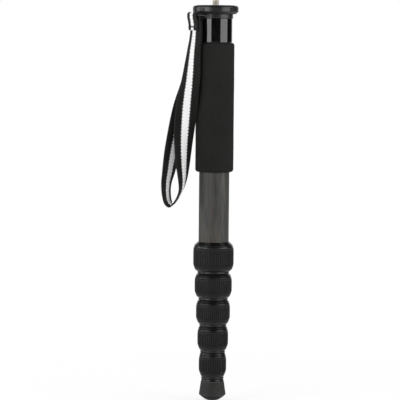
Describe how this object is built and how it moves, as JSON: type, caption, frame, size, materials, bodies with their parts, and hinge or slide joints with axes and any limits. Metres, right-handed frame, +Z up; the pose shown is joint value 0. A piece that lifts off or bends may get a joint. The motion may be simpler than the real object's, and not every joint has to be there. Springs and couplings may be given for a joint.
{
  "type": "camera monopod",
  "caption": "Folding camera monopod: nested carbon tubes with ribbed twist locks, foam grip, round top plate with a camera stud, rubber foot and a striped wrist strap.",
  "frame": {"origin": "middle of the foot's flat patch, where it meets the ground, on the tube axis", "axes": "+Z up the pole to the camera stud; the pictured front looks along +Y; the wrist strap hangs on the -X side"},
  "size_m": [0.0706, 0.0422, 0.3735],
  "materials": {
    "stud_brass": "turned, nickel washed",
    "pad_rubber": "matt",
    "satin_anodised": "satin dark grey anodised",
    "grey_wire": "satin grey",
    "webbing": "woven, black edges and a white middle stripe",
    "gloss_anodised": "gloss black anodised",
    "foam": "closed-cell foam",
    "carbon": "carbon fibre, satin",
    "lock_rubber": "moulded, ribbed",
    "foot_rubber": "moulded",
    "bearing_plastic": "moulded acetal"
  },
  "bodies": {
    "section_6": {"tube_6": "carbon", "slide_bush_6": "bearing_plastic", "foot_plug": "gloss_anodised", "rubber_foot": "foot_rubber"},
    "section_5": {"tube_5": "carbon", "slide_bush_5": "bearing_plastic", "lock_collar_5": "gloss_anodised", "collet_5": "bearing_plastic"},
    "section_4": {"tube_4": "carbon", "slide_bush_4": "bearing_plastic", "lock_collar_4": "gloss_anodised", "collet_4": "bearing_plastic"},
    "section_3": {"tube_3": "carbon", "slide_bush_3": "bearing_plastic", "lock_collar_3": "gloss_anodised", "collet_3": "bearing_plastic"},
    "section_2": {"tube_2": "carbon", "slide_bush_2": "bearing_plastic", "lock_collar_2": "gloss_anodised", "collet_2": "bearing_plastic"},
    "section_1": {"tube_1": "carbon", "lock_collar_1": "gloss_anodised", "collet_1": "bearing_plastic", "foam_grip": "foam", "neck_hub": "gloss_anodised", "strap_ring": "satin_anodised", "strap_bail": "grey_wire", "top_plate": "satin_anodised", "plate_pad": "pad_rubber", "camera_stud": "stud_brass"},
    "lock_1": {"lock_nut_1": "gloss_anodised", "nut_grip_1": "lock_rubber"},
    "lock_2": {"lock_nut_2": "gloss_anodised", "nut_grip_2": "lock_rubber"},
    "lock_3": {"lock_nut_3": "gloss_anodised", "nut_grip_3": "lock_rubber"},
    "lock_4": {"lock_nut_4": "gloss_anodised", "nut_grip_4": "lock_rubber"},
    "lock_5": {"lock_nut_5": "gloss_anodised", "nut_grip_5": "lock_rubber"},
    "strap": {"wrist_strap": "webbing"}
  },
  "joints": [
    {"name": "extend_5", "type": "slide", "parent": "section_6", "child": "section_5", "axis": [0, 0, 1], "range_m": [0, 0.291]},
    {"name": "extend_4", "type": "slide", "parent": "section_5", "child": "section_4", "axis": [0, 0, 1], "range_m": [0, 0.266]},
    {"name": "extend_3", "type": "slide", "parent": "section_4", "child": "section_3", "axis": [0, 0, 1], "range_m": [0, 0.242]},
    {"name": "extend_2", "type": "slide", "parent": "section_3", "child": "section_2", "axis": [0, 0, 1], "range_m": [0, 0.217]},
    {"name": "extend_1", "type": "slide", "parent": "section_2", "child": "section_1", "axis": [0, 0, 1], "range_m": [0, 0.189]},
    {"name": "twist_1", "type": "hinge", "parent": "section_1", "child": "lock_1", "pos_m": [0, 0, 0.1365], "axis": [0, 0, -1], "range_deg": [0, 180]},
    {"name": "twist_2", "type": "hinge", "parent": "section_2", "child": "lock_2", "pos_m": [0, 0, 0.107], "axis": [0, 0, -1], "range_deg": [0, 180]},
    {"name": "twist_3", "type": "hinge", "parent": "section_3", "child": "lock_3", "pos_m": [0, 0, 0.0823], "axis": [0, 0, -1], "range_deg": [0, 180]},
    {"name": "twist_4", "type": "hinge", "parent": "section_4", "child": "lock_4", "pos_m": [0, 0, 0.0576], "axis": [0, 0, -1], "range_deg": [0, 180]},
    {"name": "twist_5", "type": "hinge", "parent": "section_5", "child": "lock_5", "pos_m": [0, 0, 0.0329], "axis": [0, 0, -1], "range_deg": [0, 180]},
    {"name": "strap_swing", "type": "hinge", "parent": "section_1", "child": "strap", "pos_m": [-0.02039, -0.00865, 0.35823], "axis": [-0.3907, 0.9205, 0], "range_deg": [0, 60]}
  ]
}
